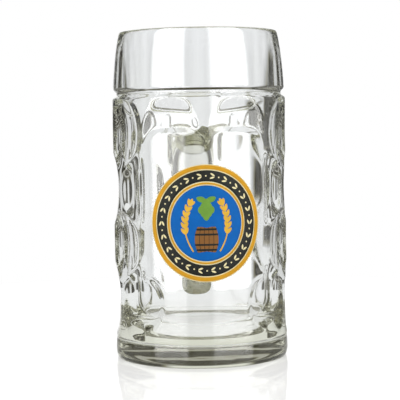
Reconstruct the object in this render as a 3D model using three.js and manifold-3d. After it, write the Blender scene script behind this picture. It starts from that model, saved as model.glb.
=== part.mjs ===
// A one-litre dimpled glass beer mug with a handle and a fired enamel badge.
// Millimetres, +Z up. The origin is the centre of the foot on the mug's axis.
// The badge faces -Y and the handle stands out towards +Y.

import * as THREE from 'three';
import { mergeVertices } from 'three/addons/utils/BufferGeometryUtils.js';
import Module from 'manifold-3d';

// Vessel
const mugHeight = 200;
const bodyRadius = 53.4;
const wallThickness = 8.5;
const boreDraft = 2;
const floorThickness = 14;
const boreCorner = 24;

// Foot: a plain band on a standing ring, with a shallow neck above it
const footHeight = 11.5;
const footEdge = 1.8;
const neckHeight = 2.6;
const neckDepth = 0.6;
const standingRing = 8;
const recessDepth = 0.9;
const recessSlope = 2;

// Rim: a groove, then a barrel-shaped band that ends in a rounded lip
const rimBandHeight = 35;
const rimBandInset = 0.6;
const rimTaper = 3.1;
const rimFullness = 0.6;
const lipHeight = 4.4;
const lipInnerDrop = 2.4;
const grooveHeight = 5.4;
const grooveDepth = 2.6;
const grooveSlope = 1.9;

// Eyes: staggered rows of oval concave cuts with ridges between them
const eyeCount = 8;
const eyeRows = 4;
const eyeHollow = 0.6;
const eyeRidge = 6;
const eyeRowOverlap = 8.5;
const eyeFullness = 5;
const eyeMargin = 0.6;
const eyeFootMargin = 2.4;

// Badge print, measured along the curved front panel
const badgeWidth = 67;
const badgeHeight = 69;
const borderMargin = 0.5;
const borderWidth = 2.4;
const bandWidth = 6.5;
const lineWidth = 1.1;
const colourGap = 0.6;
const filmThickness = 0.15;
const filmGap = 0.1;
const badgeDrop = 2.2;

// Front panel: the smooth field that the badge is printed on
const panelSideMargin = 5;
const panelEndMargin = 17.5;
const panelCorner = 10;

// Badge motifs
const barrelHeight = 15;
const barrelHead = 10.5;
const barrelBulge = 1.7;
const barrelDrop = 9.5;
const grainLength = 4.6;
const grainWidth = 2;
const grainPairs = 6;
const grainLean = 0.5;
const grainHold = 0.4;
const stemWidth = 0.9;
const earFootClear = 2.5;
const earEdgeClear = 4.2;
const earTipClear = 2.9;
const earHeight = 29;
const earDrop = 2;
const bareStem = 11;
const hopLength = 13;
const hopScale = 5;
const hopScaleWidth = 3.9;
const hopSpacing = 2.9;
const hopSplay = 0.08;
const hopClear = 3.5;
const leafLength = 6.4;
const leafWidth = 3.5;
const leafTurn = 1.2;
const leafHold = 2.7;
const leafDrop = 0.6;

// Handle
const handleTopDrop = 18;
const handleBottom = 30;
const handleReach = 49.6;
const handleRootWidth = 24.5;
const handleGripWidth = 35;
const handleLowWidth = 18.5;
const gripShare = 0.3;
const handleThickness = 17;
const handleFlare = 3;
const flareLength = 14;
const upperBend = 30;
const lowerBend = 34;
const backLean = 6;
const handleLandMargin = 3;
const seatGap = 0.3;

// Facets
const roundSegments = 56;
const arcSteps = 3;
const eyeSides = 32;
const eyeRings = 6;
const eyeClear = 1.2;
const bodyTolerance = 0.05;
const ovalSteps = 36;
const lensSteps = 6;
const stemSteps = 4;
const handleRings = 26;
const handleSides = 14;
const sectionPower = 0.8;

const wasm = await Module();
wasm.setup();

// Makes a solid of a closed geometry: shared corners are merged, slivers on the axis are
// dropped, and the faces are turned outwards
function solidOf(geometry) {
  const bare = new THREE.BufferGeometry();
  bare.setAttribute('position', geometry.getAttribute('position'));
  bare.setIndex(geometry.index);
  const merged = mergeVertices(bare, 1e-4);
  const corners = merged.getAttribute('position');
  const triangles = [];
  let volume = 0;
  for (let i = 0; i < merged.index.count; i += 3) {
    const [a, b, c] = [0, 1, 2].map((k) => merged.index.getX(i + k));
    if (a === b || b === c || c === a) continue;
    const [pa, pb, pc] = [a, b, c].map((k) => new THREE.Vector3().fromBufferAttribute(corners, k));
    volume += pa.dot(pb.cross(pc));
    triangles.push([a, b, c]);
  }
  const outward = volume < 0 ? triangles.map(([a, b, c]) => [a, c, b]) : triangles;
  return new wasm.Manifold(new wasm.Mesh({
    numProp: 3,
    vertProperties: new Float32Array(corners.array),
    triVerts: new Uint32Array(outward.flat()),
  }));
}

// Gives a solid back as a named mesh
function meshOf(name, solid, look) {
  const { vertProperties, triVerts } = solid.getMesh();
  const geometry = new THREE.BufferGeometry();
  geometry.setAttribute('position', new THREE.BufferAttribute(vertProperties, 3));
  geometry.setIndex(new THREE.BufferAttribute(triVerts, 1));
  geometry.computeVertexNormals();
  const mesh = new THREE.Mesh(geometry, new THREE.MeshStandardMaterial(look));
  mesh.name = name;
  return mesh;
}

// Revolves a profile of [radius, height] points about the mug's axis
function revolve(profile) {
  const points = profile.map(([radius, height]) => new THREE.Vector2(radius, height));
  return solidOf(new THREE.LatheGeometry(points, roundSegments).rotateX(Math.PI / 2));
}

// Points of a quarter ellipse from one profile point to another, leaving the first one upwards
// (rising) or sideways
function quarterTurn([r0, z0], [r1, z1], rising) {
  const points = [];
  for (let i = 1; i <= arcSteps; i += 1) {
    const angle = (i / arcSteps) * (Math.PI / 2);
    const early = 1 - Math.cos(angle);
    const late = Math.sin(angle);
    const across = rising ? early : late;
    const along = rising ? late : early;
    points.push([r0 + (r1 - r0) * across, z0 + (z1 - z0) * along]);
  }
  return points;
}

// Vessel profile
const boreRadius = bodyRadius - wallThickness;
const boreTopRadius = boreRadius + boreDraft;
const neckTop = footHeight + neckHeight;
const rimBandBottom = mugHeight - rimBandHeight;
const grooveBottom = rimBandBottom - grooveHeight;
const grooveRadius = bodyRadius - grooveDepth;
const rimBandRadius = bodyRadius - rimBandInset;
const lipBottom = mugHeight - lipHeight;
const lipOuterRadius = rimBandRadius - rimTaper;
const lipTopRadius = (boreTopRadius + lipOuterRadius) / 2;

// The outside, from the standing ring up to the top of the lip
function outerProfile() {
  const standingOuter = bodyRadius - footEdge;
  const bandCurve = new THREE.QuadraticBezierCurve(
    new THREE.Vector2(rimBandRadius, rimBandBottom),
    new THREE.Vector2(rimBandRadius - rimFullness, (rimBandBottom + lipBottom) / 2),
    new THREE.Vector2(lipOuterRadius, lipBottom),
  );
  return [
    [standingOuter, 0],
    ...quarterTurn([standingOuter, 0], [bodyRadius, footEdge], false),
    [bodyRadius, footHeight],
    [bodyRadius - neckDepth, footHeight + neckHeight / 2],
    [bodyRadius, neckTop],
    [bodyRadius, grooveBottom],
    [grooveRadius, grooveBottom + grooveSlope],
    [grooveRadius, rimBandBottom - grooveSlope],
    ...bandCurve.getPoints(arcSteps).map((point) => [point.x, point.y]),
    ...quarterTurn([lipOuterRadius, lipBottom], [lipTopRadius, mugHeight], true),
  ];
}

// The inside, from the top of the lip down to the middle of the floor. It narrows a little on the
// way down, so that the plunger could be drawn out of the mould.
function boreProfile() {
  const cornerTop = floorThickness + boreCorner;
  return [
    ...quarterTurn([lipTopRadius, mugHeight], [boreTopRadius, mugHeight - lipInnerDrop], false),
    [boreRadius, cornerTop],
    ...quarterTurn([boreRadius, cornerTop], [boreRadius - boreCorner, floorThickness], true),
    [0, floorThickness],
  ];
}

// The underside, a shallow recess inside the standing ring
function undersideProfile() {
  const standingInner = bodyRadius - footEdge - standingRing;
  return [
    [0, recessDepth],
    [standingInner - recessSlope, recessDepth],
    [standingInner, 0],
  ];
}

// One eye cutter: a lens turned about the radial direction, its deepest point inside the wall.
// It is a cap of an ellipsoid that leaves the body at the eye's height and at its width
// across the ridges.
const eyePitch = (2 * Math.PI) / eyeCount;
const eyeHalfAngle = Math.asin(Math.sin(eyePitch / 2) - eyeRidge / 2 / bodyRadius);
const eyeHalfWidth = bodyRadius * Math.sin(eyeHalfAngle);
const eyeSagitta = bodyRadius * (1 - Math.cos(eyeHalfAngle));
const eyeDepth = eyeSagitta + eyeHollow;
const eyeBottom = neckTop + eyeFootMargin;
const eyeTop = grooveBottom - eyeMargin;
const rowPitch = (eyeTop - eyeBottom - eyeRowOverlap) / eyeRows;
const eyeHeight = rowPitch + eyeRowOverlap;

function eyeCutter() {
  const radial = eyeDepth + eyeFullness;
  const upCos = eyeFullness / radial;
  const sideCos = (eyeFullness + eyeSagitta) / radial;
  const vertical = eyeHeight / 2 / Math.sqrt(1 - upCos * upCos);
  const sideways = eyeHalfWidth / Math.sqrt(1 - sideCos * sideCos);
  const capAngle = Math.acos((eyeFullness - eyeClear) / radial);
  const profile = [];
  for (let i = 0; i <= eyeRings; i += 1) {
    const angle = (i / eyeRings) * capAngle;
    profile.push(new THREE.Vector2(Math.sin(angle), -Math.cos(angle)));
  }
  profile.push(new THREE.Vector2(0, -Math.cos(capAngle)));
  const cap = new THREE.LatheGeometry(profile, eyeSides);
  cap.scale(sideways, radial, vertical);
  cap.rotateZ(Math.PI);
  cap.translate(0, -(bodyRadius + eyeFullness), 0);
  return cap;
}

// A cutter in its place: rows are counted from the top, turns in eyes from the front
function eyeAt(row, turn) {
  const cutter = eyeCutter();
  cutter.rotateZ(turn * eyePitch);
  cutter.translate(0, 0, eyeTop - eyeHeight / 2 - row * rowPitch);
  return solidOf(cutter);
}

// All the eyes: the first row from the top has a ridge at the front, the next one an eye, in turn
function eyePattern() {
  const eyes = [];
  for (let row = 0; row < eyeRows; row += 1) {
    const stagger = ((row + 1) % 2) / 2;
    for (let k = 0; k < eyeCount; k += 1) {
      eyes.push(eyeAt(row, k + stagger));
    }
  }
  return wasm.Manifold.union(eyes);
}

// Extrudes an upright outline from the mug's axis out to past its front
function frontPrism(outline) {
  const prism = new THREE.ExtrudeGeometry(outline, { depth: 2 * bodyRadius, bevelEnabled: false });
  return solidOf(prism.rotateX(Math.PI / 2));
}

// The badge and its panel sit a little under the middle of the eyes
const badgeCentre = (eyeBottom + eyeTop) / 2 - badgeDrop;

// Where a distance along the curved front lies when seen from straight ahead
const seenAcross = (along) => bodyRadius * Math.sin(along / bodyRadius);

function roundedRectangle(halfWidth, bottom, top, corner) {
  const shape = new THREE.Shape();
  shape.moveTo(-halfWidth + corner, bottom);
  shape.lineTo(halfWidth - corner, bottom);
  shape.quadraticCurveTo(halfWidth, bottom, halfWidth, bottom + corner);
  shape.lineTo(halfWidth, top - corner);
  shape.quadraticCurveTo(halfWidth, top, halfWidth - corner, top);
  shape.lineTo(-halfWidth + corner, top);
  shape.quadraticCurveTo(-halfWidth, top, -halfWidth, top - corner);
  shape.lineTo(-halfWidth, bottom + corner);
  shape.quadraticCurveTo(-halfWidth, bottom, -halfWidth + corner, bottom);
  return shape;
}

// The smooth panel at the front and the plain land under the handle keep the eyes away. The
// panel runs down to the foot, between the two lowest eyes beside it, which stay whole.
function eyeFreeZones() {
  const panelHalf = seenAcross(badgeWidth / 2 + panelSideMargin);
  const panelTop = badgeCentre + badgeHeight / 2 + panelEndMargin;
  const lowEyes = [-1, 1].map((turn) => eyeAt(eyeRows - 1, turn));
  const panel = frontPrism(roundedRectangle(panelHalf, 0, panelTop, panelCorner))
    .subtract(wasm.Manifold.union(lowEyes));
  const landHalf = (handleRootWidth + handleFlare) / 2 + handleLandMargin;
  const land = frontPrism(roundedRectangle(landHalf, 0, mugHeight, handleLandMargin));
  return panel.add(land.rotate([0, 0, 180]));
}

function mugBody() {
  const blank = revolve([...undersideProfile(), ...outerProfile(), ...boreProfile()]);
  const pressed = blank.subtract(eyePattern().subtract(eyeFreeZones()));
  return pressed.asOriginal().simplify(bodyTolerance);
}

// Handle: rounded sections along a D-shaped path in the plane X = 0, widest at the top of the
// grip and flared where they meet the body
function handlePath() {
  const rootDepth = bodyRadius - wallThickness;
  const outer = bodyRadius + handleReach - handleThickness / 2;
  const upper = grooveBottom - handleTopDrop - handleThickness / 2;
  const lower = handleBottom + handleThickness / 2;
  const corners = [
    new THREE.Vector2(rootDepth, upper),
    new THREE.Vector2(outer, upper),
    new THREE.Vector2(outer - backLean, lower),
    new THREE.Vector2(rootDepth, lower),
  ];
  const toward = (from, to, distance) => to.clone().sub(from).setLength(distance).add(from);
  const upperStart = toward(corners[1], corners[0], upperBend);
  const upperEnd = toward(corners[1], corners[2], upperBend);
  const lowerStart = toward(corners[2], corners[1], lowerBend);
  const lowerEnd = toward(corners[2], corners[3], lowerBend);
  const path = new THREE.CurvePath();
  path.add(new THREE.LineCurve(corners[0], upperStart));
  path.add(new THREE.QuadraticBezierCurve(upperStart, corners[1], upperEnd));
  path.add(new THREE.LineCurve(upperEnd, lowerStart));
  path.add(new THREE.QuadraticBezierCurve(lowerStart, corners[2], lowerEnd));
  path.add(new THREE.LineCurve(lowerEnd, corners[3]));
  return path;
}

function handleWidthAt(share) {
  const swell = THREE.MathUtils.smoothstep(share, 0, gripShare);
  const taper = THREE.MathUtils.smoothstep(share, gripShare, 1);
  const upTo = THREE.MathUtils.lerp(handleRootWidth, handleGripWidth, swell);
  return THREE.MathUtils.lerp(upTo, handleLowWidth, taper);
}

function handleLoft() {
  const path = handlePath();
  const length = path.getLength();
  const corners = [];
  const triangles = [];
  for (let ring = 0; ring <= handleRings; ring += 1) {
    const share = ring / handleRings;
    const centre = path.getPointAt(share);
    const fromEnd = Math.min(share, 1 - share) * length - wallThickness;
    const flare = handleFlare * (1 - THREE.MathUtils.smoothstep(fromEnd, 0, flareLength));
    const before = path.getPointAt(Math.max(0, share - 0.5 / handleRings));
    const after = path.getPointAt(Math.min(1, share + 0.5 / handleRings));
    const run = after.sub(before).normalize();
    const width = handleWidthAt(share) + flare;
    for (let side = 0; side < handleSides; side += 1) {
      const angle = (side / handleSides) * 2 * Math.PI;
      const squared = (value) => Math.sign(value) * Math.abs(value) ** sectionPower;
      const across = squared(Math.cos(angle)) * width / 2;
      const outward = squared(Math.sin(angle)) * (handleThickness + flare / 2) / 2;
      corners.push(across, centre.x - run.y * outward, centre.y + run.x * outward);
      if (ring < handleRings) {
        const here = ring * handleSides + side;
        const beside = ring * handleSides + ((side + 1) % handleSides);
        const beyond = beside + handleSides;
        triangles.push(here, beside, beyond, here, beyond, here + handleSides);
      }
    }
  }
  const last = handleRings * handleSides;
  for (let side = 1; side < handleSides - 1; side += 1) {
    triangles.push(0, side + 1, side, last, last + side, last + side + 1);
  }
  const loft = new THREE.BufferGeometry();
  loft.setAttribute('position', new THREE.BufferAttribute(new Float32Array(corners), 3));
  loft.setIndex(triangles);
  return solidOf(loft);
}

function handleSolid() {
  const seatRadius = bodyRadius + seatGap;
  const seat = revolve([[0, 0], [seatRadius, 0], [seatRadius, mugHeight], [0, mugHeight]]);
  return handleLoft().subtract(seat);
}

// Enamel films: an outline on the curved front, in films that lie one on another
function film(outline, layer) {
  const inside = bodyRadius + filmGap + layer * (filmThickness + filmGap);
  const outside = inside + filmThickness;
  const bottom = badgeCentre - badgeHeight;
  const top = badgeCentre + badgeHeight;
  const section = [[inside, bottom], [outside, bottom], [outside, top], [inside, top], [inside, bottom]];
  return revolve(section).intersect(frontPrism(outline));
}

// Points along the badge's own oval, drawn in from its edge
function ovalPoints(inset) {
  const oval = new THREE.EllipseCurve(0, 0, badgeWidth / 2 - inset, badgeHeight / 2 - inset);
  return oval.getSpacedPoints(ovalSteps).slice(0, ovalSteps).map(onPanel);
}

function onPanel({ x, y }) {
  return new THREE.Vector2(seenAcross(x), badgeCentre + y);
}

function ovalRing(outerInset, width) {
  const shape = new THREE.Shape(ovalPoints(outerInset));
  shape.holes.push(new THREE.Path(ovalPoints(outerInset + width)));
  return shape;
}

const bandInset = borderMargin + borderWidth + colourGap;
const lineInset = bandInset + bandWidth + colourGap;
const fieldInset = lineInset + lineWidth + colourGap;

// A barrel seen from the side: straight heads and bulged staves
function barrelOutline() {
  const half = barrelHead / 2;
  const bottom = -barrelDrop - barrelHeight / 2;
  const top = -barrelDrop + barrelHeight / 2;
  const staves = new THREE.Shape();
  staves.moveTo(-half, bottom);
  staves.lineTo(half, bottom);
  staves.quadraticCurveTo(half + 2 * barrelBulge, -barrelDrop, half, top);
  staves.lineTo(-half, top);
  staves.quadraticCurveTo(-half - 2 * barrelBulge, -barrelDrop, -half, bottom);
  return new THREE.Shape(staves.getPoints(lensSteps).map(onPanel));
}

// A small oval, turned about its middle: a grain, a hop scale or a leaf
function lens(centre, length, width, turn) {
  const points = [];
  for (let i = 0; i < lensSteps; i += 1) {
    const angle = (i / lensSteps) * 2 * Math.PI;
    const along = Math.cos(angle) * length / 2;
    const across = Math.sin(angle) * width / 2;
    const point = new THREE.Vector2(across, along).rotateAround(new THREE.Vector2(), turn).add(centre);
    points.push(onPanel(point));
  }
  return new THREE.Shape(points);
}

// Several outlines joined into one film
function joinedFilm(outlines, layer) {
  return wasm.Manifold.union(outlines.map((outline) => film(outline, layer)));
}

// A barley ear: a curved stem with pairs of grains and one at the tip. Side is -1 or 1.
function barleyEar(side) {
  const stem = new THREE.QuadraticBezierCurve(
    new THREE.Vector2(side * (barrelHead / 2 + earFootClear), -earDrop - earHeight / 2),
    new THREE.Vector2(side * (badgeWidth / 2 - fieldInset - earEdgeClear), -earDrop),
    new THREE.Vector2(side * (leafHold + leafLength / 2 + earTipClear), -earDrop + earHeight / 2),
  );
  const left = [];
  const right = [];
  for (let i = 0; i <= stemSteps; i += 1) {
    const point = stem.getPointAt(i / stemSteps);
    const run = stem.getTangentAt(i / stemSteps);
    const aside = new THREE.Vector2(-run.y, run.x).setLength(stemWidth / 2);
    left.push(onPanel(point.clone().add(aside)));
    right.unshift(onPanel(point.clone().sub(aside)));
  }
  const outlines = [new THREE.Shape([...left, ...right])];
  for (let pair = 0; pair < grainPairs; pair += 1) {
    const grainRun = stem.getLength() - bareStem - grainLength / 2;
    const share = (bareStem + grainRun * pair / (grainPairs - 1)) / stem.getLength();
    const root = stem.getPointAt(share);
    const run = stem.getTangentAt(share);
    const heading = Math.atan2(-run.x, run.y);
    for (const hand of [-1, 1]) {
      const turn = heading - hand * grainLean;
      const reach = grainLength / 2 - grainHold;
      const centre = new THREE.Vector2(-Math.sin(turn) * reach, Math.cos(turn) * reach).add(root);
      outlines.push(lens(centre, grainLength, grainWidth, turn));
    }
  }
  const tip = stem.getPointAt(1);
  const tipRun = stem.getTangentAt(1);
  outlines.push(lens(tip, grainLength, grainWidth, Math.atan2(-tipRun.x, tipRun.y)));
  return joinedFilm(outlines, 2);
}

// A hop cone: rows of hanging scales that narrow to a point, under two leaves
function hopCone() {
  const rows = [1, 2, 3, 2, 1];
  const rowDrop = (hopLength - hopScale) / (rows.length - 1);
  const hopTop = barrelHeight / 2 - barrelDrop + hopClear + hopLength;
  const outlines = [];
  rows.forEach((count, row) => {
    const height = hopTop - hopScale / 2 - row * rowDrop;
    for (let i = 0; i < count; i += 1) {
      const across = (i - (count - 1) / 2) * hopSpacing;
      outlines.push(lens(new THREE.Vector2(across, height), hopScale, hopScaleWidth, across * hopSplay));
    }
  });
  for (const side of [-1, 1]) {
    const leafCentre = new THREE.Vector2(side * leafHold, hopTop - leafDrop);
    outlines.push(lens(leafCentre, leafLength, leafWidth, -side * leafTurn));
  }
  return joinedFilm(outlines, 2);
}

// Looks
const glass = { color: 0xdfe4dd, roughness: 0.04, metalness: 0, transparent: true, opacity: 0.5 };
const enamel = (color) => ({ color, roughness: 0.4, metalness: 0 });
const cream = enamel(0xf3e6b0);
const gold = enamel(0xd59a1e);
const black = enamel(0x20241f);
const blue = enamel(0x1f5fa8);
const brown = enamel(0x8a5a2b);
const yellow = enamel(0xe7b63a);
const green = enamel(0x6f9a3c);

// The ground film carries the rings and the field, and the field carries the motifs
const ground = new THREE.Shape(ovalPoints(0));
const field = new THREE.Shape(ovalPoints(fieldInset));

const group = new THREE.Group();
group.add(
  meshOf('mug_body', mugBody(), glass),
  meshOf('handle', handleSolid(), glass),
  meshOf('badge_ground', film(ground, 0), cream),
  meshOf('badge_border', film(ovalRing(borderMargin, borderWidth), 1), gold),
  meshOf('badge_band', film(ovalRing(bandInset, bandWidth), 1), black),
  meshOf('badge_inner_line', film(ovalRing(lineInset, lineWidth), 1), gold),
  meshOf('badge_field', film(field, 1), blue),
  meshOf('badge_barrel', film(barrelOutline(), 2), brown),
  meshOf('badge_barley_left', barleyEar(-1), yellow),
  meshOf('badge_barley_right', barleyEar(1), yellow),
  meshOf('badge_hop', hopCone(), green),
);

export default group;
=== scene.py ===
# %% [markdown]
# # A dimpled glass beer mug
# A pressed mug is a thick cylinder of clear glass whose outside is covered with rows of shallow
# hollows, called eyes. It shows no colour of its own: what the eye sees is the studio, bent by
# every hollow and every edge. So this lesson spends its care on two things: an exact, smooth
# surface, and a studio that gives the glass something worth bending.
# The measured solids are loaded first, and every size below starts from them.

# %% Load the measured solids
import math

import bpy
import numpy as np
from mathutils import Matrix, Vector


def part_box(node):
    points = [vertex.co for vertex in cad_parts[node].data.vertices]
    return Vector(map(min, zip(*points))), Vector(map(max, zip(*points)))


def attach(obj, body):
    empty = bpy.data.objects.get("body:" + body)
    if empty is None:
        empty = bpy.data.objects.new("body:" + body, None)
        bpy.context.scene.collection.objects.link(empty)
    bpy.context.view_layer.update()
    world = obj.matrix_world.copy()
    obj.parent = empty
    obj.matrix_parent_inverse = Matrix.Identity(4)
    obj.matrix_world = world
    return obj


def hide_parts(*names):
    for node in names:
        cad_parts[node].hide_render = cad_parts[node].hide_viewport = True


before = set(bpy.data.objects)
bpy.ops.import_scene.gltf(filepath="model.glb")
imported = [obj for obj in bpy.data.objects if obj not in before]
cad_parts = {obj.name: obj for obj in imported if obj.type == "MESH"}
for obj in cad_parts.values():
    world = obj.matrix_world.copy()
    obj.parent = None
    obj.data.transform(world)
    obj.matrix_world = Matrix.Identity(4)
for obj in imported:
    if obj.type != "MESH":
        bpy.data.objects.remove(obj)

MM = 0.001
scene = bpy.context.scene
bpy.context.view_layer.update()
body_low, body_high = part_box("mug_body")
body_radius = body_high.x
mug_height = body_high.z
print(f"mug: {mug_height / MM:.1f} mm high, {2 * body_radius / MM:.1f} mm across")

# %% [markdown]
# ## Camera
# The photograph was taken with a long lens from just under the rim, a little to the left of the
# badge. A long lens keeps the sides nearly parallel, and the small height above the table keeps the
# base's curve flat. Blender could fit a camera by eye, but reading the horizon and the ellipses of
# rim and foot gives the distance, height, pitch and roll directly.

# %% Camera
photo_pixels = 400
focal_pixels = 1316
sensor_width = 36
camera_distance = 818 * MM
camera_height = 142 * MM
camera_turn = math.radians(-3.8)
camera_pitch = math.radians(-3.2)
camera_roll = math.radians(-0.86)

camera = bpy.data.objects.new("photo_camera", bpy.data.cameras.new("photo_camera"))
scene.collection.objects.link(camera)
camera.data.sensor_width = sensor_width
camera.data.lens = sensor_width * focal_pixels / photo_pixels
ahead = Vector((-math.sin(camera_turn), math.cos(camera_turn), math.tan(camera_pitch))).normalized()
look = ahead.to_track_quat("-Z", "Y").to_matrix().to_4x4()
place = Vector((math.sin(camera_turn), -math.cos(camera_turn), 0)) * camera_distance
place.z = camera_height
camera.matrix_world = Matrix.Translation(place) @ look @ Matrix.Rotation(camera_roll, 4, "Z")
scene.camera = camera
print(f"camera: {camera.data.lens:.1f} mm lens, {camera_distance / MM:.0f} mm from the axis")

# %% [markdown]
# ## From rings of points to a closed shell
# Every piece here is a stack of rings. A mug is a stack of circles, a handle a stack of cross
# sections, a drop of enamel a stack of outlines that shrink towards its middle. One helper joins
# the rings with quads and closes both ends with a point, or joins the last ring to the first one.
# Rings are whole numpy arrays, so a hundred thousand points take a moment.

# %% Shell helper
def shell(rings, ends=None):
    """Points and faces of a closed shell.

    rings is an array of rings by points by 3. Neighbouring rings are joined by quads, and each
    ring closes on itself. ends holds the two points that close the stack. Without it the last
    ring is joined to the first.
    """
    count, around = rings.shape[:2]
    points = rings.reshape(-1, 3)
    index = np.arange(count * around).reshape(count, around)
    stack = index if ends is not None else np.vstack([index, index[:1]])
    beside = np.roll(stack, -1, axis=1)
    quads = np.stack([stack[:-1], beside[:-1], beside[1:], stack[1:]], axis=-1).reshape(-1, 4)
    faces = quads.tolist()
    if ends is not None:
        first = np.full(around, len(points))
        fan = np.stack([first, np.roll(index[0], -1), index[0]], axis=-1)
        cap = np.stack([first + 1, index[-1], np.roll(index[-1], -1)], axis=-1)
        points = np.vstack([points, np.asarray(ends).reshape(2, 3)])
        faces += fan.tolist() + cap.tolist()
    corners = points[quads]
    across = np.cross(corners[:, 2] - corners[:, 0], corners[:, 3] - corners[:, 1])
    if (corners.mean(axis=1) * across).sum() < 0:
        faces = [face[::-1] for face in faces]
    return points, faces


def make_piece(name, shells, replaced):
    """One mesh object made of closed shells, which rides on the mug and stands for CAD nodes."""
    points = []
    faces = []
    for shell_points, shell_faces in shells:
        start = sum(len(block) for block in points)
        points.append(shell_points)
        faces += [[corner + start for corner in face] for face in shell_faces]
    mesh = bpy.data.meshes.new(name)
    mesh.from_pydata(np.vstack(points).tolist(), [], faces)
    mesh.polygons.foreach_set("use_smooth", np.ones(len(faces), dtype=bool))
    mesh.update()
    piece = bpy.data.objects.new(name, mesh)
    scene.collection.objects.link(piece)
    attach(piece, "root")
    if replaced:
        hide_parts(*replaced)
    print(f"{name}: {len(mesh.vertices)} points, {len(faces)} faces")
    return piece

# %% [markdown]
# ## The vessel's profile
# The glass was pressed in a mould, so all its corners are slightly rounded. The profile runs from
# the middle of the underside, round the standing ring, up the outside, over the lip, down the bore
# and across the floor. The bore narrows a little downwards, so that the press could draw its plunger
# out, and the foot is a low cushion, which fills it with fine dark and light lines. The profile is a
# short list of corners, and each corner is replaced by a quarter of an ellipse that is squeezed
# between its two sides.

# %% Profile of the glass
wall = 8.5 * MM
floor_thickness = 14 * MM
bore_corner = 24 * MM
bore_draft = 2 * MM
bore_radius = body_radius - wall
bore_top = bore_radius + bore_draft
foot_height = 11.5 * MM
foot_edge = 1.8 * MM
foot_round = 6.0 * MM
foot_shoulder = 4.5 * MM
neck_height = 2.6 * MM
neck_depth = 0.6 * MM
standing_ring = 8 * MM
recess_depth = 0.9 * MM
recess_slope = 2 * MM
band_height = 35 * MM
band_bottom = mug_height - band_height
rim_inset = 0.6 * MM
band_radius = body_radius - rim_inset
band_swell = 0.6 * MM
swell_below = 13 * MM
swell_above = 11 * MM
lip_height = 4.4 * MM
lip_drop = 2.4 * MM
lip_flat = 0.05 * MM
lip_inset = 3.1 * MM
lip_outer = band_radius - lip_inset
groove_height = 5.4 * MM
groove_depth = 2.6 * MM
groove_bottom = band_bottom - groove_height
groove_radius = body_radius - groove_depth
groove_slope = 1.9 * MM
soft_edge = 0.9 * MM
standing_outer = body_radius - foot_edge
standing_inner = standing_outer - standing_ring
neck_top = foot_height + neck_height
lip_bottom = mug_height - lip_height
band_middle = (band_bottom + lip_bottom) / 2
lip_lean = (lip_outer - band_radius + band_swell) / (lip_bottom - band_middle)
lip_corner = lip_outer + lip_lean * lip_height
lip_top = (bore_top + lip_outer) / 2


def rounded_profile(start, corners, end):
    """Points of [radius, height] from start to end through rounded corners.

    A corner is (radius, height, cut before, cut after, rows up to it, rows round it). Its rounding
    is corner + (in - corner)(1 - sin a) + (out - corner)(1 - cos a) with a from 0 to 90 degrees,
    where in and out lie on its two sides at the cut lengths.
    """
    places = np.array([start] + [corner[:2] for corner in corners] + [end[:2]])
    runs = []
    here = places[0]
    for i, (_, _, before, after, straight, bend) in enumerate(corners, start=1):
        back = places[i - 1] - places[i]
        onward = places[i + 1] - places[i]
        enter = places[i] + back / np.linalg.norm(back) * before
        leave = places[i] + onward / np.linalg.norm(onward) * after
        share = np.arange(1, straight + 1)[:, None] / (straight + 1)
        runs.append(here + (enter - here) * share)
        angle = np.linspace(0, math.pi / 2, bend + 1)[:, None]
        curve = places[i] + (enter - places[i]) * (1 - np.sin(angle))
        runs.append(curve + (leave - places[i]) * (1 - np.cos(angle)))
        here = leave
    share = np.arange(1, end[2] + 1)[:, None] / (end[2] + 1)
    runs.append(here + (places[-1] - here) * share)
    return np.vstack(runs)


eye_rows_of_points = 80
mug_profile = rounded_profile(
    (0, recess_depth),
    [
        (standing_inner - recess_slope, recess_depth, soft_edge, soft_edge, 3, 2),
        (standing_inner, 0, soft_edge, soft_edge, 0, 2),
        (body_radius, 0, foot_edge, foot_round, 2, 10),
        (body_radius, foot_height, foot_shoulder, soft_edge, 2, 8),
        (body_radius - neck_depth, foot_height + neck_height / 2, soft_edge, soft_edge, 0, 3),
        (body_radius, neck_top, soft_edge, soft_edge, 0, 3),
        (body_radius, groove_bottom, soft_edge, soft_edge, eye_rows_of_points, 3),
        (groove_radius, groove_bottom + groove_slope, soft_edge, soft_edge / 2, 1, 3),
        (groove_radius, band_bottom - groove_slope, soft_edge / 2, soft_edge, 0, 3),
        (band_radius, band_bottom, soft_edge, soft_edge, 1, 3),
        (band_radius - band_swell, band_middle, swell_below, swell_above, 1, 10),
        (lip_corner, mug_height, lip_height, lip_corner - lip_top, 3, 7),
        (bore_top, mug_height, lip_top - bore_top - lip_flat, lip_drop, 0, 7),
        (bore_radius, floor_thickness, bore_corner, bore_corner, 14, 16),
    ],
    (0, floor_thickness, 5),
)
print(f"profile: {len(mug_profile)} rings")

# %% [markdown]
# ## The eyes
# Each eye is a hollow pressed by one rounded stud of the mould, so it is a piece of an ellipsoid
# whose middle floats outside the glass. The eyes of a row leave a narrow ridge between them, and
# each row reaches into the next, so the glass stands up in a net of soft crests. Cutting 32
# ellipsoids out with booleans would leave those crests ragged. Instead, each point's radius is the
# least of the plain wall and of all the hollows, and the least is taken softly, which rounds the
# crests as fire-polished glass is rounded.
# A smooth panel for the badge and a plain land under the handle stay free of eyes.

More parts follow.
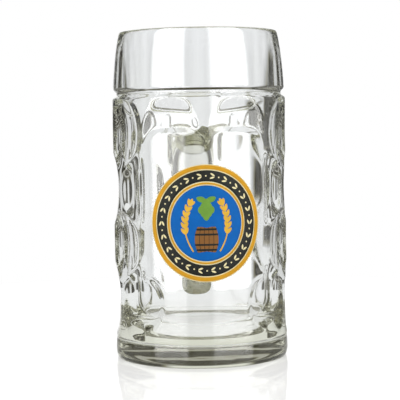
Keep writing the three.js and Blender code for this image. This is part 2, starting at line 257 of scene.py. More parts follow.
# %% Depth of the eyes
eye_count = 8
eye_rows = 4
eye_hollow = 1.0 * MM
eye_ridge = 6.0 * MM
eye_row_overlap = 8.5 * MM
eye_fullness = 2.5 * MM
eye_margin = 0.6 * MM
eye_foot_margin = 2.4 * MM
ridge_softness = 1.0 * MM
crest_softness = 0.8 * MM
skirt_softness = 4.0 * MM
skirt_top = 34 * MM
eye_pitch = 2 * math.pi / eye_count
eye_half_angle = math.asin(math.sin(eye_pitch / 2) - eye_ridge / 2 / body_radius)
eye_half_width = body_radius * math.sin(eye_half_angle)
eye_sagitta = body_radius * (1 - math.cos(eye_half_angle))
eye_bottom = neck_top + eye_foot_margin
eye_top = groove_bottom - eye_margin
row_pitch = (eye_top - eye_bottom - eye_row_overlap) / eye_rows
eye_height = row_pitch + eye_row_overlap
stud_radial = eye_sagitta + eye_hollow + eye_fullness
stud_upright = eye_height / 2 / math.sqrt(1 - (eye_fullness / stud_radial) ** 2)
stud_sideways = eye_half_width / math.sqrt(1 - ((eye_fullness + eye_sagitta) / stud_radial) ** 2)


def smooth_step(value, low, high):
    """0 below low, 1 above high, and an even S curve between."""
    share = np.clip((value - low) / (high - low), 0, 1)
    return share * share * (3 - 2 * share)


def soft_least(a, b, softness):
    """The lesser of two arrays, rounded off where they come within softness of each other."""
    near = np.clip(1 - np.abs(a - b) / softness, 0, 1)
    return np.minimum(a, b) - near**2 * softness / 4


def stud_radius(turn, rise):
    """Distance from the axis at which a line at that turn and rise from a stud enters it.

    The stud is the ellipsoid (radial / a)^2 + (sideways / b)^2 + (upright / c)^2 = 1 about a middle
    outside the glass, and the line enters it at the nearer root of that quadratic.
    """
    middle = body_radius + eye_fullness
    square = (np.cos(turn) / stud_radial) ** 2 + (np.sin(turn) / stud_sideways) ** 2
    half_linear = middle * np.cos(turn) / stud_radial**2
    constant = (middle / stud_radial) ** 2 + (rise / stud_upright) ** 2 - 1
    root = np.sqrt(np.maximum(half_linear**2 - square * constant, 0))
    return (half_linear - root) / square


def eyed_radius(angle, height, plain):
    """The outside radius with all the eyes cut: the soft least of the plain wall and every stud."""
    hollow = np.full_like(plain, 2 * body_radius)
    for row in range(eye_rows):
        middle = eye_top - eye_height / 2 - row * row_pitch
        stagger = (row + 1) % 2 / 2
        turn = (angle - (stagger - 0.5) * eye_pitch) % eye_pitch - eye_pitch / 2
        rise = np.clip(height - middle, -0.9 * eye_height, 0.9 * eye_height)
        nearest = stud_radius(turn, rise)
        second = stud_radius(turn - np.copysign(eye_pitch, turn), rise)
        hollow = soft_least(hollow, soft_least(nearest, second, ridge_softness), ridge_softness)
    near_foot = smooth_step(height, neck_top, skirt_top)
    softness = skirt_softness + (crest_softness - skirt_softness) * near_foot
    return soft_least(plain, hollow, softness)


print(f"eyes: {eye_count} in a row, {eye_rows} rows, each {2 * eye_half_width / MM:.1f} mm wide")

# %% [markdown]
# ## Panel, land and the finished body
# The panel is a rounded rectangle on the curved front. Its distance function is simple: the
# distance from a smaller rectangle, less the corner's radius. A smooth step across that distance
# fades the eyes out over a few millimetres, so the panel ends in a soft shoulder. Below the badge
# the panel runs on to the foot, between the two lowest eyes, which stay whole.

# %% Mug body
badge_width = 67 * MM
badge_height = 69 * MM
badge_drop = 2.2 * MM
badge_centre = (eye_bottom + eye_top) / 2 - badge_drop
panel_side_margin = 5 * MM
panel_top_margin = 17.5 * MM
panel_half_width = badge_width / 2 + panel_side_margin
panel_half_height = badge_height / 2 + panel_top_margin
panel_corner = 10 * MM
land_half_width = 16.5 * MM
shoulder = 5 * MM
low_eye_height = eye_bottom + eye_height / 2
columns_per_eye = 60
columns = eye_count * columns_per_eye


def eye_share(angle, height):
    """1 where eyes are pressed, 0 on the front panel and on the handle's land."""
    from_front = (angle + math.pi) % (2 * math.pi) - math.pi
    across = np.abs(from_front) * body_radius - (panel_half_width - panel_corner)
    up = height - badge_centre - (panel_half_height - panel_corner)
    outside = np.hypot(np.maximum(across, 0), np.maximum(up, 0)) + np.minimum(np.maximum(across, up), 0)
    aside = (np.abs(from_front) - eye_pitch) * body_radius
    low_eye = np.hypot(aside, height - low_eye_height) - eye_half_width
    from_panel = np.maximum(outside - panel_corner, -low_eye)
    from_land = (math.pi - np.abs(from_front)) * body_radius - land_half_width
    near = np.minimum(from_panel, from_land)
    return smooth_step(near, 0, shoulder)


round_angle = np.linspace(0, 2 * math.pi, columns, endpoint=False)[None, :]
ring_radius = np.repeat(mug_profile[:, :1], columns, axis=1)
ring_height = np.repeat(mug_profile[:, 1:], columns, axis=1)
is_outside = (ring_radius > bore_top + 1 * MM) & (ring_height > foot_height)
is_outside &= ring_height < band_bottom
cut = eyed_radius(round_angle, ring_height, ring_radius)
depth = np.where(is_outside, ring_radius - cut, 0) * eye_share(round_angle, ring_height)
ring_radius = ring_radius - np.maximum(depth, 0)
mug_rings = np.stack(
    [ring_radius * np.sin(round_angle), -ring_radius * np.cos(round_angle), ring_height], axis=-1
)
mug_ends = [(0, 0, recess_depth), (0, 0, floor_thickness)]
mug = make_piece("pressed_mug", [shell(mug_rings, mug_ends)], ["mug_body"])
print(f"deepest eye: {depth.max() / MM:.2f} mm under the crest")

# %% [markdown]
# ## Handle
# The handle is a D of solid glass, drawn along a path of straight runs and two bends. Its section
# is a rounded rectangle that widens where it flows into the body. Both ends follow the body's curve
# and sit a hair inside the wall: light crosses the two parallel faces and leaves unbent, so handle
# and body read as one piece of glass.

# %% Handle path and sections
handle_root_width = 24.5 * MM
handle_grip_width = 34.8 * MM
handle_low_width = 18.5 * MM
grip_share = 0.3
handle_thickness = 17 * MM
handle_flare = 3 * MM
flare_length = 14 * MM
handle_reach = 49.2 * MM
handle_drop = 18 * MM
handle_rise = 30 * MM
handle_outer = body_radius + handle_reach - handle_thickness / 2
handle_upper = groove_bottom - handle_drop - handle_thickness / 2
handle_lower = handle_rise + handle_thickness / 2
upper_bend = 30 * MM
lower_bend = 34 * MM
back_lean = 6 * MM
root_depth = 0.4 * MM
section_power = 0.8
section_points = 48


def handle_path():
    """Even steps along the D: a straight arm, a bend, the grip, a bend and a straight arm."""
    seat = body_radius - root_depth
    return rounded_profile(
        (seat, handle_upper),
        [
            (handle_outer, handle_upper, upper_bend, upper_bend, 12, 26),
            (handle_outer - back_lean, handle_lower, lower_bend, lower_bend, 24, 26),
        ],
        (seat, handle_lower, 12),
    )


def handle_rings():
    """Superellipse sections square to the path, |x/a|^(2/p) + |y/b|^(2/p) = 1, flared at the roots."""
    path = handle_path()
    run = np.gradient(path, axis=0)
    run /= np.linalg.norm(run, axis=1, keepdims=True)
    gone = np.concatenate([[0], np.cumsum(np.linalg.norm(np.diff(path, axis=0), axis=1))])
    from_end = np.minimum(gone, gone[-1] - gone)
    flare = handle_flare * (1 - smooth_step(from_end, 0, flare_length))[:, None]
    angle = np.linspace(0, 2 * math.pi, section_points, endpoint=False)[None, :]
    squared_cos = np.sign(np.cos(angle)) * np.abs(np.cos(angle)) ** section_power
    squared_sin = np.sign(np.sin(angle)) * np.abs(np.sin(angle)) ** section_power
    share = (gone / gone[-1])[:, None]
    width = handle_root_width + (handle_grip_width - handle_root_width) * smooth_step(share, 0, grip_share)
    width += (handle_low_width - width) * smooth_step(share, grip_share, 1)
    width += flare
    across = squared_cos * width / 2
    outward = squared_sin * (handle_thickness + flare / 2) / 2
    away = path[:, :1] - run[:, 1:] * outward
    up = path[:, 1:] + run[:, :1] * outward
    return np.stack([across, away, up], axis=-1)


def on_wall(ring, share):
    """A root ring drawn towards its middle and laid on the wall: y = sqrt(r^2 - x^2)."""
    middle = ring.mean(axis=0)
    laid = middle + (ring - middle) * share
    laid[:, 1] = np.sqrt((body_radius - root_depth) ** 2 - laid[:, 0] ** 2)
    return laid


sections = handle_rings()
cap_shares = (0.35, 0.7, 1.0)
upper_cap = [on_wall(sections[0], share) for share in cap_shares]
lower_cap = [on_wall(sections[-1], share) for share in reversed(cap_shares)]
handle_stack = np.stack(upper_cap + list(sections[1:-1]) + lower_cap)
handle_ends = [upper_cap[0].mean(axis=0), lower_cap[-1].mean(axis=0)]
handle = make_piece("loop_handle", [shell(handle_stack, handle_ends)], ["handle"])

# %% [markdown]
# ## Enamel
# The badge is printed on the cool glass in coloured enamels and fired. Each colour is a thin film
# with a rounded edge that lies on the one below. The design is drawn on a flat sheet in millimetres
# and then wrapped round the panel: distance across the sheet becomes an angle, and the film's
# height becomes radius. Two kinds of film are enough. A button shrinks an outline towards its
# middle, and a strip carries a low arch along a line.

# %% Film helpers
film_step = 0.22 * MM
film_sink = 0.05 * MM
film_height = 0.24 * MM


def wrap(flat, layer):
    """Sheet points (across, up, height) on the panel: angle = across / radius, height is radial."""
    angle = flat[..., 0] / body_radius
    radius = body_radius - film_sink + layer * film_step + flat[..., 2]
    return np.stack(
        [radius * np.sin(angle), -radius * np.cos(angle), badge_centre + flat[..., 1]], axis=-1
    )


def button(outline, layer, height=film_height, dome=0.0):
    """A film inside an outline: rings at shrinking shares of it, low at the edge, then its flat back.

    The front rises from the edge to height within the outer tenth, and to dome more at the middle.
    """
    middle = outline.mean(axis=0)
    shares = np.array([0.3, 0.6, 0.85, 0.94, 1.0, 1.0, 0.6])
    lift = height + dome * (1 - shares**2)
    lift[4] = height * 0.6
    lift[5:] = 0
    flat = middle + (outline - middle)[None] * shares[:, None, None]
    rise = np.broadcast_to(lift[:, None, None], flat.shape[:2] + (1,))
    rings = wrap(np.concatenate([flat, rise], axis=-1), layer)
    tips = np.array([[*middle, height + dome], [*middle, 0]])
    return shell(rings, wrap(tips, layer))


def strip(line, half_width, layer, height=film_height, closed=False):
    """A low arch carried along a line of sheet points, with half_width a value for each point."""
    if closed:
        run = np.roll(line, -1, axis=0) - np.roll(line, 1, axis=0)
    else:
        run = np.gradient(line, axis=0)
    run /= np.linalg.norm(run, axis=1, keepdims=True)
    aside = np.stack([-run[:, 1], run[:, 0]], axis=-1)
    offset = np.array([-1, -0.93, -0.6, 0.6, 0.93, 1, 0])
    lift = np.array([0.35, 0.8, 1, 1, 0.8, 0.35, 0]) * height
    width = np.broadcast_to(half_width, (len(line),))
    flat = line[:, None] + aside[:, None] * (offset[None, :] * width[:, None])[..., None]
    rise = np.broadcast_to(lift[None, :, None], flat.shape[:2] + (1,))
    rings = wrap(np.concatenate([flat, rise], axis=-1), layer)
    if closed:
        return shell(rings)
    tips = np.concatenate([line[[0, -1]], np.full((2, 1), height / 2)], axis=-1)
    return shell(rings, wrap(tips, layer))


def oval(inset, count=160):
    """The badge's own ellipse, drawn in from its edge by inset."""
    angle = np.linspace(0, 2 * math.pi, count, endpoint=False)
    half_width = badge_width / 2 - inset
    half_height = badge_height / 2 - inset
    return np.stack([half_width * np.cos(angle), half_height * np.sin(angle)], axis=-1)


# %% [markdown]
# ## Rings and field of the badge
# A cream ground carries a gold border, a black band, a thin gold line and a blue field. A wreath of
# small cream grains and dots runs round the black band, a plain ornament of the kind found on many
# painted steins.

# %% Badge rings
border_inset = 0.5 * MM
border_width = 2.4 * MM
band_inset = 3.5 * MM
band_width = 6.5 * MM
line_inset = 10.6 * MM
line_width = 1.1 * MM
field_inset = 12.3 * MM
wreath_count = 44
wreath_grain = (1.5 * MM, 0.55 * MM)
wreath_dot = 0.5 * MM
wreath_lean = 0.45
wreath_aside = 0.9 * MM


def ring_film(inset, width, layer):
    """A closed strip between two of the badge's ovals."""
    return strip(oval(inset + width / 2), width / 2, layer, closed=True)


def grain_outline(middle, half_length, half_width, turn, count=14):
    """A pointed oval: half widths follow sin a, half lengths cos a, turned from upright."""
    angle = np.linspace(0, 2 * math.pi, count, endpoint=False)
    along = half_length * np.cos(angle)
    across = half_width * np.sin(angle) * np.abs(np.sin(angle)) ** 0.3
    x = middle[0] + across * math.cos(turn) - along * math.sin(turn)
    y = middle[1] + across * math.sin(turn) + along * math.cos(turn)
    return np.stack([x, y], axis=-1)


make_piece("enamel_ground", [button(oval(0), 0)], ["badge_ground"])
make_piece("enamel_border", [ring_film(border_inset, border_width, 1)], ["badge_border"])
make_piece("enamel_band", [ring_film(band_inset, band_width, 1)], ["badge_band"])
make_piece("enamel_line", [ring_film(line_inset, line_width, 1)], ["badge_inner_line"])
make_piece("enamel_field", [button(oval(field_inset), 1)], ["badge_field"])

wreath_line = oval(band_inset + band_width / 2, wreath_count)
wreath = []
for i, spot in enumerate(wreath_line):
    onward = wreath_line[(i + 1) % wreath_count] - wreath_line[i - 1]
    heading = math.atan2(-onward[0], onward[1])
    if i % 2:
        dot = grain_outline(spot, wreath_dot, wreath_dot, 0, 10)
        wreath.append(button(dot, 2, film_height / 2))
        continue
    for lean in (-wreath_lean, wreath_lean):
        aside = np.array([math.cos(heading), math.sin(heading)]) * math.copysign(wreath_aside, -lean)
        grain = grain_outline(spot + aside, *wreath_grain, heading + lean)
        wreath.append(button(grain, 2, film_height / 2))
make_piece("enamel_wreath", wreath, [])

# %% [markdown]
# ## Motifs of the badge
# A barrel, two barley ears and a hop cone stand on the blue field: the plain signs of brewing. Each
# grain and each scale is its own small drop of enamel, slightly domed, so the print catches light
# the way thick enamel does.

# %% Barrel
barrel_height = 15 * MM
barrel_head = 10.5 * MM
barrel_bulge = 1.7 * MM
barrel_drop = 9.5 * MM
stave_count = 5
hoop_heights = (-0.4, -0.2, 0.2, 0.4)
hoop_half_width = 0.55 * MM
stave_half_width = 0.14 * MM
stave_end = 0.48


def barrel_half_width(up):
    """Half the barrel's width at a height from its middle: a parabola, widest in the middle."""
    return barrel_head / 2 + barrel_bulge * (1 - (2 * up / barrel_height) ** 2)


def barrel_outline(count=14):
    """The barrel's side view: up one bulged side and down the other."""
    up = np.linspace(-0.5, 0.5, count) * barrel_height
    right = np.stack([barrel_half_width(up), up - barrel_drop], axis=-1)
    left = np.stack([-barrel_half_width(up[::-1]), up[::-1] - barrel_drop], axis=-1)
    return np.vstack([right, left])


def barrel_line(up_from, up_to, across_from, across_to, count=12):
    """A line on the barrel between two shares of its height and of its half width."""
    up = np.linspace(up_from, up_to, count) * barrel_height
    across = np.linspace(across_from, across_to, count) * barrel_half_width(up)
    return np.stack([across, up - barrel_drop], axis=-1)


make_piece("enamel_barrel", [button(barrel_outline(), 2)], ["badge_barrel"])
hoops = [
    strip(barrel_line(up, up, -1, 1), hoop_half_width, 3, film_height / 3) for up in hoop_heights
]
make_piece("enamel_hoops", hoops, [])
stave_shares = np.linspace(-1, 1, stave_count + 1)[1:-1]
staves = [
    strip(barrel_line(-stave_end, stave_end, share, share), stave_half_width, 3, film_height / 4)
    for share in stave_shares
]
make_piece("enamel_staves", staves, [])

# %% [markdown]
# ## Barley ears
# An ear is a curved stem with pairs of grains that lean out from it. The stem is a quadratic curve
# from its foot past its belly to its tip, and the second ear is the first one mirrored.

# %% Barley ears
grain_size = (2.3 * MM, 1.0 * MM)
grain_dome = 0.05 * MM
grain_hold = 0.4 * MM
grain_pairs = 6
grain_lean = 0.5
stem_half_width = 0.45 * MM
bare_stem_share = 0.36
ear_foot = (7.75 * MM, -16.5 * MM)
ear_belly = (17 * MM, -2 * MM)
ear_tip = (8.8 * MM, 12.5 * MM)


def ear_stem(share, side):
    """A quadratic curve from the ear's foot past its belly to its tip, mirrored by side."""
    share = np.asarray(share)[..., None]
    foot, belly, tip = (np.array([side * x, y]) for x, y in (ear_foot, ear_belly, ear_tip))
    return foot * (1 - share) ** 2 + belly * 2 * share * (1 - share) + tip * share**2


def barley_ear(side):
    """A stem with pairs of grains that lean out from it, and one grain at the tip."""
    shares = np.linspace(0, 1, 24)
    taper = stem_half_width * (1 - 0.5 * shares)
    films = [strip(ear_stem(shares, side), taper, 2, film_height / 2)]
    for pair in np.linspace(bare_stem_share, 0.93, grain_pairs):
        root = ear_stem(pair, side)
        onward = ear_stem(pair + 0.02, side) - root
        heading = math.atan2(-onward[0], onward[1])
        for lean in (-grain_lean, grain_lean):
            reach = grain_size[0] - grain_hold
            spot = root + reach * np.array([-math.sin(heading + lean), math.cos(heading + lean)])
            grain = grain_outline(spot, *grain_size, heading + lean)
            films.append(button(grain, 2, film_height / 2, grain_dome))
    tip = ear_stem(1.0, side)
    films.append(button(grain_outline(tip, *grain_size, heading), 2, film_height / 2, grain_dome))
    return films


make_piece("enamel_barley_left", barley_ear(-1), ["badge_barley_left"])
make_piece("enamel_barley_right", barley_ear(1), ["badge_barley_right"])

# %% [markdown]
# ## Hop cone
# The cone is five rows of scales. They are laid from the bottom row upwards and each row stands a
# little higher, so that it overlaps the one below, and two leaves close the top.

# %% Hop cone
hop_rows = (1, 2, 3, 2, 1)
hop_top = 14.5 * MM
hop_length = 13 * MM
scale_size = (2.5 * MM, 1.95 * MM)
scale_spacing = 2.9 * MM
leaf_size = (3.2 * MM, 1.75 * MM)
leaf_hold = 2.7 * MM
leaf_drop = 0.6 * MM
leaf_turn = 1.2
leaf_dome = 0.04 * MM
scale_dome = 0.06 * MM
scale_step = 0.02 * MM
scale_fan = 0.08

hop_films = []
row_drop = (hop_length - 2 * scale_size[0]) / (len(hop_rows) - 1)
for row in reversed(range(len(hop_rows))):
    height = hop_top - scale_size[0] - row * row_drop
    for i in range(hop_rows[row]):
        across = (i - (hop_rows[row] - 1) / 2) * scale_spacing
        outline = grain_outline((across, height), *scale_size, across / MM * scale_fan)
        lift = film_height / 2 + (len(hop_rows) - 1 - row) * scale_step
        hop_films.append(button(outline, 2, lift, scale_dome))
for side in (-1, 1):
    leaf = grain_outline((side * leaf_hold, hop_top - leaf_drop), *leaf_size, -side * leaf_turn)
    hop_films.append(button(leaf, 2, film_height / 2, leaf_dome))
make_piece("enamel_hop", hop_films, ["badge_hop"])

# %% [markdown]
# ## Glass
# Clear pressed glass is a Principled shader with full transmission. Two things keep it from
# looking like a computer's glass. Its body has a faint olive tint that only shows where light
# travels far through it, which Volume Absorption gives, and its surface is very slightly uneven
# from the cold mould, which a low bump gives.

# %% Glass material
glass_index = 1.51
body_tint = (0.71, 0.71, 0.48, 1)


def add_node(tree, kind, links=None, **settings):
    """A new node with its settings, and with sockets set to a value or linked to another socket."""
    node = tree.nodes.new(kind)
    for name, value in settings.items():
        setattr(node, name, value)
    for name, value in (links or {}).items():
        if isinstance(value, bpy.types.NodeSocket):
            tree.links.new(value, node.inputs[name])
        else:
            node.inputs[name].default_value = value
    return node


def pressed_glass(name, tint_density, wave_size):
    """Clear glass with an olive body tint, faint mould waves and a slightly varied polish."""
    material = bpy.data.materials.new(name)
    material.use_nodes = True
    tree = material.node_tree
    shader = tree.nodes["Principled BSDF"]
    shader.inputs["Base Color"].default_value = (1, 1, 1, 1)
    shader.inputs["Transmission Weight"].default_value = 1
    shader.inputs["IOR"].default_value = glass_index
    place = add_node(tree, "ShaderNodeTexCoord").outputs["Object"]
    waves = add_node(
        tree, "ShaderNodeTexNoise",
        {"Vector": place, "Scale": 1 / wave_size, "Detail": 1.0, "Roughness": 0.4},
    )
    polish = add_node(
        tree, "ShaderNodeTexNoise", {"Vector": place, "Scale": 90.0, "Detail": 3.0}
    )
    rough = add_node(
        tree, "ShaderNodeMapRange",
        {"Value": polish.outputs["Fac"], "From Min": 0.5, "From Max": 0.9, "To Min": 0.0, "To Max": 0.03},
    )
    bump = add_node(
        tree, "ShaderNodeBump", {"Height": waves.outputs["Fac"], "Strength": 0.5, "Distance": 0.15 * MM}
    )
    tree.links.new(rough.outputs["Result"], shader.inputs["Roughness"])
    tree.links.new(bump.outputs["Normal"], shader.inputs["Normal"])
    tint = add_node(tree, "ShaderNodeVolumeAbsorption", {"Color": body_tint, "Density": tint_density})
    output = tree.nodes["Material Output"]
    tree.links.new(tint.outputs["Volume"], output.inputs["Volume"])
    return material


mug.data.materials.append(pressed_glass("mug_glass", 7.5, 14 * MM))
handle.data.materials.append(pressed_glass("thick_handle_glass", 10.0, 18 * MM))
print(f"glass: refractive index {glass_index}")

# %% [markdown]
# ## Enamel colours
# Fired enamel is opaque and satin. Its colour is never quite even, because the powder lay a little
# thicker in some places, so a soft cloud of darker and lighter tone runs through it, with fine
# specks, and the surface has the faint dimples of melted powder.

# %% Enamel materials
def fired_enamel(name, colour):
    """Satin enamel: its colour clouded by about a tenth, with fine specks and a dimpled surface."""
    material = bpy.data.materials.new(name)
    material.use_nodes = True
    tree = material.node_tree
    shader = tree.nodes["Principled BSDF"]
    place = add_node(tree, "ShaderNodeTexCoord").outputs["Object"]
    cloud = add_node(tree, "ShaderNodeTexNoise", {"Vector": place, "Scale": 160.0, "Detail": 4.0})
    specks = add_node(tree, "ShaderNodeTexNoise", {"Vector": place, "Scale": 2600.0, "Detail": 2.0})
    tone = add_node(
        tree, "ShaderNodeMix", {"Factor": 0.35, 2: cloud.outputs["Fac"], 3: specks.outputs["Fac"]}
    )
    ramp = add_node(tree, "ShaderNodeValToRGB", {"Fac": tone.outputs[0]})
    dark, light = ramp.color_ramp.elements
    dark.position = 0.3
    light.position = 0.7
    dark.color = (*(0.86 * channel for channel in colour), 1)
    light.color = (*(min(1, 1.08 * channel) for channel in colour), 1)
    rough = add_node(
        tree, "ShaderNodeMapRange", {"Value": cloud.outputs["Fac"], "To Min": 0.42, "To Max": 0.58}
    )
    bump = add_node(
        tree, "ShaderNodeBump",
        {"Height": specks.outputs["Fac"], "Strength": 0.25, "Distance": 0.02 * MM},
    )
    tree.links.new(ramp.outputs["Color"], shader.inputs["Base Color"])
    tree.links.new(rough.outputs["Result"], shader.inputs["Roughness"])
    tree.links.new(bump.outputs["Normal"], shader.inputs["Normal"])
    shader.inputs["Specular IOR Level"].default_value = 0.12
    return material


enamel_colours = {
    "cream_enamel": (0.89, 0.79, 0.45),
    "gold_enamel": (0.66, 0.33, 0.02),
    "black_enamel": (0.007, 0.008, 0.006),
    "blue_enamel": (0.002, 0.12, 0.44),
    "brown_enamel": (0.25, 0.11, 0.03),
    "yellow_enamel": (0.79, 0.46, 0.05),
    "green_enamel": (0.16, 0.33, 0.05),
}
enamels = {slot: fired_enamel(slot, colour) for slot, colour in enamel_colours.items()}
enamel_of = {
    "enamel_ground": "cream_enamel",
    "enamel_border": "gold_enamel",
    "enamel_band": "black_enamel",
    "enamel_line": "gold_enamel",
    "enamel_field": "blue_enamel",
    "enamel_wreath": "cream_enamel",
    "enamel_barrel": "brown_enamel",
    "enamel_hoops": "black_enamel",
    "enamel_staves": "black_enamel",
    "enamel_barley_left": "yellow_enamel",
    "enamel_barley_right": "yellow_enamel",
    "enamel_hop": "green_enamel",
}
for piece_name, slot in enamel_of.items():
    bpy.data.objects[piece_name].data.materials.append(enamels[slot])
print(f"enamels: {', '.join(enamels)}")

# %% [markdown]
# ## Table
# The table is a pale disc under the mug. It keeps the mug's soft shadow, and at the camera's low
# angle it shows a blurred reflection of the foot. A wide plane would do too, but a disc no wider than
# the picture needs lets most lines of sight through the glass pass over its edge into the studio.

# %% Table disc
floor_reach = 420 * MM
floor_drop = 0.2 * MM
floor_circles = 12
floor_spokes = 96
floor_angle = np.linspace(0, 2 * math.pi, floor_spokes, endpoint=False)
floor_shares = np.linspace(0.05, 1, floor_circles)[:, None]
floor_rings = np.stack(
    [
        floor_reach * floor_shares * np.cos(floor_angle),
        floor_reach * floor_shares * np.sin(floor_angle),
        np.full((floor_circles, floor_spokes), -floor_drop),
    ],
    axis=-1,
)
floor_index = np.arange(floor_circles * floor_spokes).reshape(floor_circles, floor_spokes)
floor_beside = np.roll(floor_index, -1, axis=1)
floor_quads = np.stack(
    [floor_index[:-1], floor_index[1:], floor_beside[1:], floor_beside[:-1]], axis=-1
)
floor_faces = floor_quads.reshape(-1, 4).tolist() + [floor_index[0].tolist()]
floor_mesh = bpy.data.meshes.new("pale_table")
floor_mesh.from_pydata(floor_rings.reshape(-1, 3).tolist(), [], floor_faces)
floor = bpy.data.objects.new("pale_table", floor_mesh)
scene.collection.objects.link(floor)
print(f"table: a disc {2 * floor_reach:.2f} m across")

# %% [markdown]
# ## Table finish
# The table is satin white. Lines of sight through the glass find it glowing evenly, as a sheet that
# is lit from all round does. A small lift for the camera alone makes its bare part as white as the
# background, and the mug's shadow and reflection stay on it.

# %% Table finish
table_colour = (0.96, 0.96, 0.96, 1)
table_glow_colour = (0.96, 0.98, 1.0, 1)
table_glow_strength = 0.88
table_lift_colour = (0.22, 0.22, 0.22, 1)

table_look = bpy.data.materials.new("pale_table")
table_look.use_nodes = True
table_tree = table_look.node_tree
table_shader = table_tree.nodes["Principled BSDF"]
table_shader.inputs["Base Color"].default_value = table_colour
table_shader.inputs["Roughness"].default_value = 0.06
table_shader.inputs["IOR"].default_value = 1.5
table_path = add_node(table_tree, "ShaderNodeLightPath")
table_glow = add_node(
    table_tree, "ShaderNodeEmission", {"Color": table_glow_colour, "Strength": table_glow_strength}
)
table_mix = add_node(
    table_tree, "ShaderNodeMixShader",
    {0: table_path.outputs["Is Transmission Ray"], 1: table_shader.outputs[0], 2: table_glow.outputs[0]},
)
table_lift = add_node(
    table_tree, "ShaderNodeEmission",
    {"Color": table_lift_colour, "Strength": table_path.outputs["Is Camera Ray"]},
)
table_lit = add_node(
    table_tree, "ShaderNodeAddShader", {0: table_mix.outputs[0], 1: table_lift.outputs[0]}
)
table_tree.links.new(table_lit.outputs[0], table_tree.nodes["Material Output"].inputs["Surface"])
floor.data.materials.append(table_look)
print(f"table: glows at {table_glow_strength} through the glass")

# %% [markdown]
# ## Studio
# Glass on white is lit the way product photographers do it: a bright field straight behind it, and
# dark cards to either side of that field. Lines of sight through the middle of the mug reach the
# field, and lines that an edge bends sharply reach a card, which draws the edge dark. Lamps and cards
# could be objects, but one world is quieter: it is read by the kind of ray that asks. A few helpers
# turn directions into levels of light.

# %% World helpers
world = bpy.data.worlds.new("studio")
scene.world = world
world.use_nodes = True
tree = world.node_tree


def calculate(operation, *values, clamp=False):
    """A Math node of the world: each value is a number or another node's output."""
    node = tree.nodes.new("ShaderNodeMath")
    node.operation = operation
    node.use_clamp = clamp
    for socket, value in zip(node.inputs, values):
        if isinstance(value, bpy.types.NodeSocket):
            tree.links.new(value, socket)
        else:
            socket.default_value = value
    return node.outputs[0]


def fade(value, low, high, from_level=0.0, to_level=1.0):
    """from_level below low, to_level above high, and a smooth step between."""
    node = add_node(
        tree, "ShaderNodeMapRange",
        {"Value": value, "From Min": low, "From Max": high, "To Min": from_level, "To Max": to_level},
        interpolation_type="SMOOTHSTEP",
    )
    return node.outputs["Result"]


def blend_levels(share, first, second):
    """first where share is 0 and second where it is 1."""
    difference = calculate("SUBTRACT", second, first)
    return calculate("MULTIPLY_ADD", share, difference, first)


direction = add_node(tree, "ShaderNodeTexCoord").outputs["Generated"]
parts = add_node(tree, "ShaderNodeSeparateXYZ", {"Vector": direction})
to_right, to_back, upward = parts.outputs
path = add_node(tree, "ShaderNodeLightPath")
print("studio: an empty world with its directions")

# %% [markdown]
# ## What the glass sees
# Straight lines of sight find four bright fields with dark cards between them, alike in each quarter,
# so that the mug reads as glass from every side. Light that was reflected inside the glass finds
# another pattern: narrow upright stripes near the horizon, which streak the thick edges, and strip
# lights one above another higher up, which streak the foot.

# %% Light through the glass
field_light = 0.9
card_light = 0.025
overhead_light = 0.4
inner_light = 0.75
inner_dark = 0.05
strip_light = 0.45
fields_round = 4.0
stripes_round = 16.0
strip_waves = 90.0

compass = calculate("ARCTAN2", to_right, to_back)
quarter_wave = calculate("COSINE", calculate("MULTIPLY", compass, fields_round))
narrow_wave = calculate("COSINE", calculate("MULTIPLY", compass, stripes_round))
strip_wave = calculate("SINE", calculate("MULTIPLY", upward, strip_waves))
in_field = fade(quarter_wave, -0.1, 0.5)
below = fade(upward, -0.2, -0.1, 1.0, 0.0)
sweep = fade(upward, 0.22, 0.38, 1.0, 0.0)
seen_field = calculate("MAXIMUM", calculate("MULTIPLY", in_field, sweep), below)
direct = blend_levels(seen_field, card_light, field_light)
low_inner = blend_levels(fade(narrow_wave, -0.6, 0.8), card_light, inner_light)
high_inner = blend_levels(fade(strip_wave, 0.2, 0.9), inner_dark, strip_light)
inner = blend_levels(fade(upward, 0.0, 0.1), low_inner, high_inner)
bounced = calculate("GREATER_THAN", path.outputs["Glossy Depth"], 0.5)
through_glass = blend_levels(bounced, direct, inner)
through_glass = blend_levels(fade(upward, 0.42, 0.6), through_glass, overhead_light)
print(f"fields: {fields_round:.0f} at {field_light}, cards at {card_light}")

# %% [markdown]
# ## What reflections see
# Two tall soft boxes on the camera's side leave the two white stripes on the rim. Straight behind the
# mug the studio is white, which keeps the table white, and beside that it is dim, so that the
# glancing reflections along the mug's outline stay darker than the background.

# %% Reflections
box_light = 7.0
edge_light = 0.2
back_light = 1.0

from_front = calculate("ARCTAN2", to_right, calculate("MULTIPLY", to_back, -1.0))


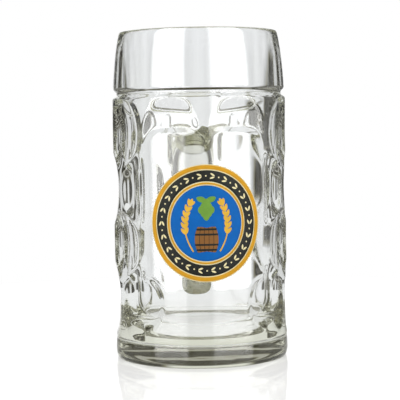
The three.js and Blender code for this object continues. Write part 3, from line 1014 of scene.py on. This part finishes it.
def soft_box(middle, half_width, softness):
    """1 inside an upright box of light, by the angle from its middle and by height."""
    off = calculate("ABSOLUTE", calculate("SUBTRACT", from_front, math.radians(middle)))
    inside = fade(off, math.radians(half_width - softness), math.radians(half_width + softness), 1.0, 0.0)
    not_low = fade(upward, -0.4, -0.3)
    not_high = fade(upward, 0.75, 0.85, 1.0, 0.0)
    return calculate("MULTIPLY", inside, calculate("MULTIPLY", not_low, not_high))


boxes = calculate("MAXIMUM", soft_box(-46, 23, 3), soft_box(39, 27, 3))
behind = fade(quarter_wave, 0.3, 0.75, edge_light, back_light)
reflected = blend_levels(boxes, behind, box_light)
print(f"soft boxes: two at {box_light}")

# %% [markdown]
# ## One level for each kind of ray
# The camera sees plain white. The table and the enamel get even light, also where it reaches them
# through the glass. Dark parts of what the glass shows are warm and bright parts cool, as they are in
# a studio with grey cards and white paper. Light may cross many walls of glass, so it gets many bounces.

# %% Join the studio
even_light = 1.06
field_tint = (0.955, 0.975, 1.0, 1)
card_tint = (1.0, 0.95, 0.64, 1)
white = (1, 1, 1, 1)

after_enamel = calculate("GREATER_THAN", path.outputs["Diffuse Depth"], 0.5)
seen_through = calculate("SUBTRACT", path.outputs["Is Transmission Ray"], after_enamel, clamp=True)
level = blend_levels(path.outputs["Is Glossy Ray"], even_light, reflected)
level = blend_levels(after_enamel, level, even_light)
level = blend_levels(seen_through, level, through_glass)
level = blend_levels(path.outputs["Is Camera Ray"], level, 1.0)
glass_tint = add_node(
    tree, "ShaderNodeMix",
    {"Factor": fade(through_glass, 0.05, 0.6), 6: card_tint, 7: field_tint},
    data_type="RGBA",
)
light_tint = add_node(
    tree, "ShaderNodeMix", {"Factor": seen_through, 6: white, 7: glass_tint.outputs[2]}, data_type="RGBA"
)
background = tree.nodes["Background"]
tree.links.new(light_tint.outputs[2], background.inputs["Color"])
tree.links.new(level, background.inputs["Strength"])
world.cycles.sampling_method = "NONE"

scene.view_settings.view_transform = "Standard"
scene.cycles.max_bounces = 24
scene.cycles.transmission_bounces = 24
scene.cycles.glossy_bounces = 12
print(f"studio: even light at {even_light}")
